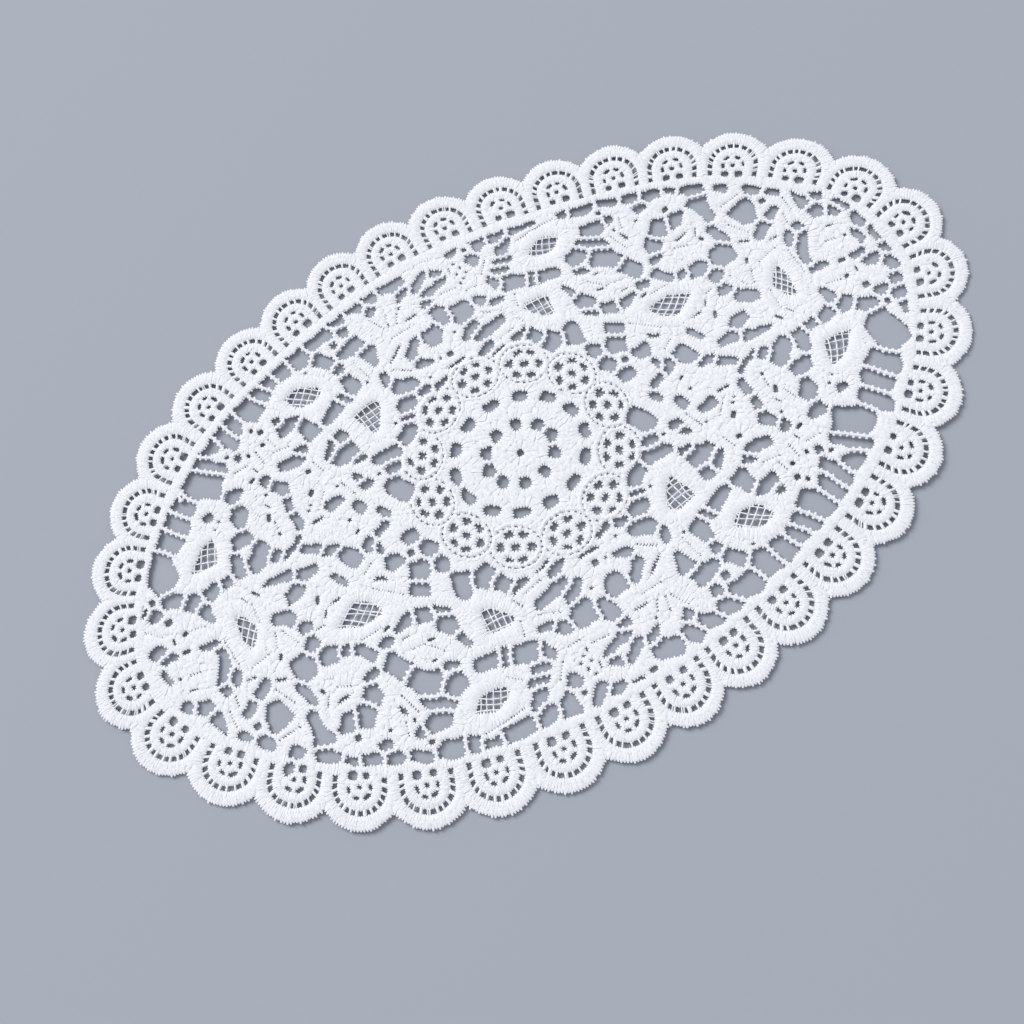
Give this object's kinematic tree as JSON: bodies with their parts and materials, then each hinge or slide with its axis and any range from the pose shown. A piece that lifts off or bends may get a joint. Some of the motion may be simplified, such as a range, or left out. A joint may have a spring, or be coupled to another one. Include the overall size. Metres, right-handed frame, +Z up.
{
  "type": "lace doily",
  "caption": "Flat oval doily of white stitched lace with a scalloped border, openwork flowers and leaves, and a round-petalled medallion in the middle.",
  "frame": {"origin": "middle of the doily's box, on the flat underside that it lies on", "axes": "+X along the oval's long axis, +Y along its short axis, +Z up out of the surface it lies on"},
  "size_m": [0.3848, 0.2448, 0.0012],
  "materials": {
    "lace": "white cotton thread, satin stitched, matte with a slight sheen"
  },
  "bodies": {
    "root": {"lace_doily": "lace"}
  },
  "joints": []
}
